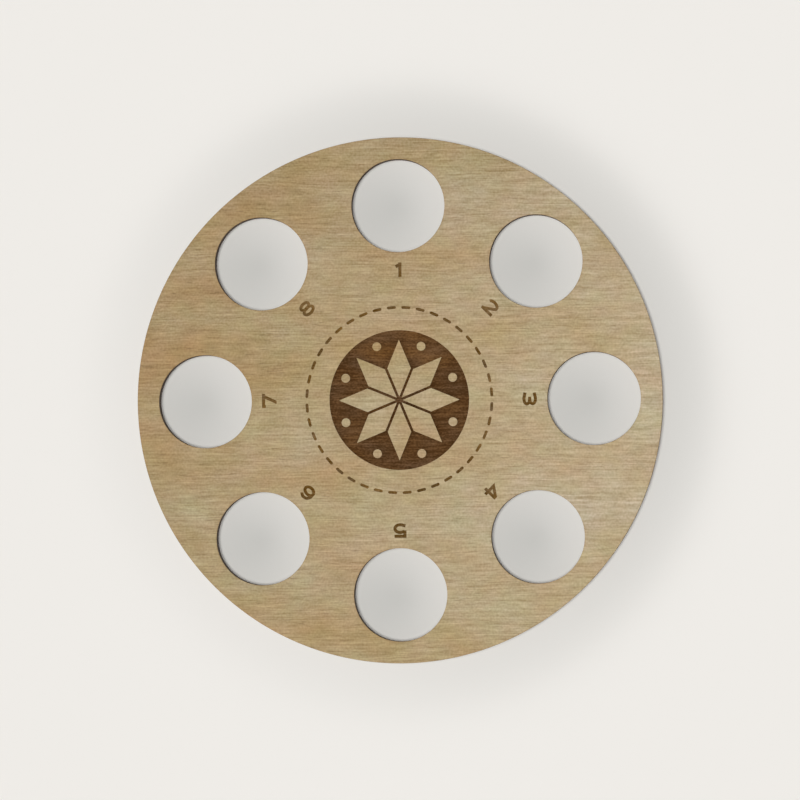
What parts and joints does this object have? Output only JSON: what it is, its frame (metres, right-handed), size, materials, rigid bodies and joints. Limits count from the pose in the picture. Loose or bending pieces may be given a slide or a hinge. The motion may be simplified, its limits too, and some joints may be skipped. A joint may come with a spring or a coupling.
{
  "type": "thread organizer",
  "caption": "Flat round plywood board with a ring of numbered round holes that hold loops of embroidery thread, and an engraved star ornament in the middle.",
  "frame": {"origin": "centre of the back face", "axes": "+Z out of the engraved front face, +Y towards the hole numbered 1, +X towards the hole numbered 3"},
  "size_m": [0.1016, 0.1016, 0.0032],
  "materials": {
    "face_wood": "fine-sanded light veneer with straight grain, brown laser engraving and burned cut edges",
    "core_wood": "cross-grained core, seen only at the burned cut edges",
    "glue": "cured adhesive film, dark line in the cut edges"
  },
  "bodies": {
    "root": {"back_veneer": "face_wood", "back_glue_line": "glue", "core_ply": "core_wood", "front_glue_line": "glue", "front_veneer": "face_wood"}
  },
  "joints": []
}
